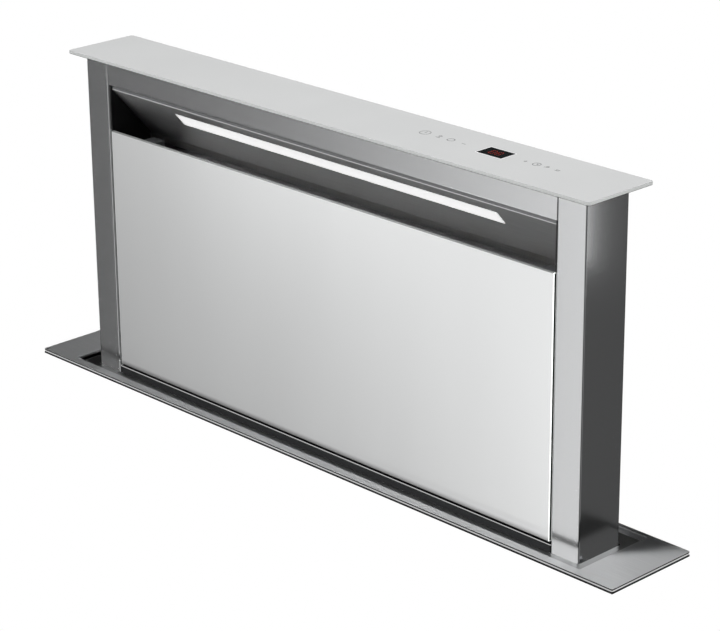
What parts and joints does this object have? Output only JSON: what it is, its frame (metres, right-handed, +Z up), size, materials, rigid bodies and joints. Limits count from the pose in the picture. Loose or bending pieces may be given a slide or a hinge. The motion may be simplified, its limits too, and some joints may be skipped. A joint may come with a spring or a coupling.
{
  "type": "downdraft vent",
  "caption": "Worktop extractor: a slim lighted riser with a glass panel and cap lifts out of a flange on two lead screws; blower and duct below.",
  "frame": {"origin": "on the worktop's top surface, at the middle of the riser", "axes": "+Z up out of the worktop, +X along the width to the right seen from the glass side, the glass panel faces -Y"},
  "size_m": [0.88, 0.2607, 0.9945],
  "materials": {
    "polished_steel": "fine polished stainless sheet with a soft mirror",
    "brushed_steel": "stainless sheet brushed along its length",
    "white_glass": "clear float glass with a white backing, ground edges",
    "galvanised": "zinc coated sheet with a faint spangle",
    "opal_acrylic": "frosted opal acrylic",
    "black_plastic": "fine grained moulded plastic",
    "grey_plastic": "fine grained moulded plastic",
    "nylon": "natural moulded nylon",
    "black_rubber": "soft black rubber",
    "mesh_aluminium": "bare drawn aluminium",
    "bronze": "sintered bearing bronze",
    "ground_steel": "ground bright steel with a film of grease",
    "circuit_board": "green solder mask"
  },
  "bodies": {
    "housing": {"flange_frame": "polished_steel", "flange_seal": "black_rubber", "slot_wiper_seal": "black_rubber", "casing_front": "galvanised", "casing_rear": "galvanised", "casing_side_right": "galvanised", "casing_side_left": "galvanised", "casing_floor": "galvanised", "clamp_bracket_right": "galvanised", "clamp_bracket_left": "galvanised", "control_box": "grey_plastic", "control_box_lid": "grey_plastic", "control_board": "circuit_board", "cable_gland": "black_plastic", "guide_rail_right": "galvanised", "guide_rail_left": "galvanised", "sync_belt": "black_rubber", "drive_plate": "galvanised", "lift_gearbox": "black_plastic", "lift_motor": "galvanised", "limit_switch_strip": "black_plastic", "scroll_rear": "grey_plastic", "scroll_front": "grey_plastic", "blower_inlet_ring": "black_plastic", "blower_motor": "mesh_aluminium", "duct_adapter": "black_plastic"},
    "riser": {"post_right": "brushed_steel", "post_left": "brushed_steel", "lintel": "brushed_steel", "lower_front_panel": "brushed_steel", "back_panel": "brushed_steel", "riser_foot_frame": "galvanised", "cap_carrier": "galvanised", "cap_glass": "white_glass", "touch_display_board": "circuit_board", "intake_cheek_right": "black_plastic", "intake_cheek_left": "black_plastic", "light_ceiling": "brushed_steel", "light_diffuser": "opal_acrylic", "led_board": "circuit_board", "filter_frame": "brushed_steel", "grease_filter_right": "mesh_aluminium", "grease_filter_left": "mesh_aluminium", "drip_tray": "galvanised", "front_glass_panel": "white_glass", "panel_frame": "galvanised", "panel_catch_right": "black_plastic", "panel_catch_left": "black_plastic", "guide_shoe_right": "nylon", "guide_shoe_left": "nylon", "lift_bracket_right": "galvanised", "lift_bracket_left": "galvanised", "screw_nut_right": "bronze", "screw_nut_left": "bronze"},
    "screw_right": {"lead_screw_right": "ground_steel"},
    "screw_left": {"lead_screw_left": "ground_steel"},
    "impeller": {"impeller": "galvanised"},
    "flap_right": {"damper_flap_right": "black_plastic"},
    "flap_left": {"damper_flap_left": "black_plastic"}
  },
  "joints": [
    {"name": "riser_lift", "type": "slide", "parent": "housing", "child": "riser", "axis": [0, 0, 1], "range_m": [-0.369, 0]},
    {"name": "screw_right_turn", "type": "hinge", "parent": "housing", "child": "screw_right", "pos_m": [0.3845, -0.014, -0.3], "axis": [0, 0, 1], "range_deg": [-6660, 20]},
    {"name": "screw_left_turn", "type": "hinge", "parent": "housing", "child": "screw_left", "pos_m": [-0.3845, -0.014, -0.3], "axis": [0, 0, 1], "range_deg": [-6660, 20]},
    {"name": "impeller_spin", "type": "hinge", "parent": "housing", "child": "impeller", "pos_m": [0, -0.1, -0.33], "axis": [0, 1, 0], "continuous": true},
    {"name": "flap_right_open", "type": "hinge", "parent": "housing", "child": "flap_right", "pos_m": [0.095, -0.13, -0.5533], "axis": [0, 1, 0], "range_deg": [0, 75], "stiffness_Nm_per_rad": 0.03, "springref_deg": -34.38},
    {"name": "flap_left_open", "type": "hinge", "parent": "housing", "child": "flap_left", "pos_m": [0.095, -0.13, -0.5533], "axis": [0, 1, 0], "range_deg": [-75, 0], "stiffness_Nm_per_rad": 0.03, "springref_deg": 34.38}
  ],
  "couplings": [
    {"joint": "screw_right_turn", "follows": "riser_lift", "rad_per_m": 314.16},
    {"joint": "screw_left_turn", "follows": "riser_lift", "rad_per_m": 314.16}
  ]
}
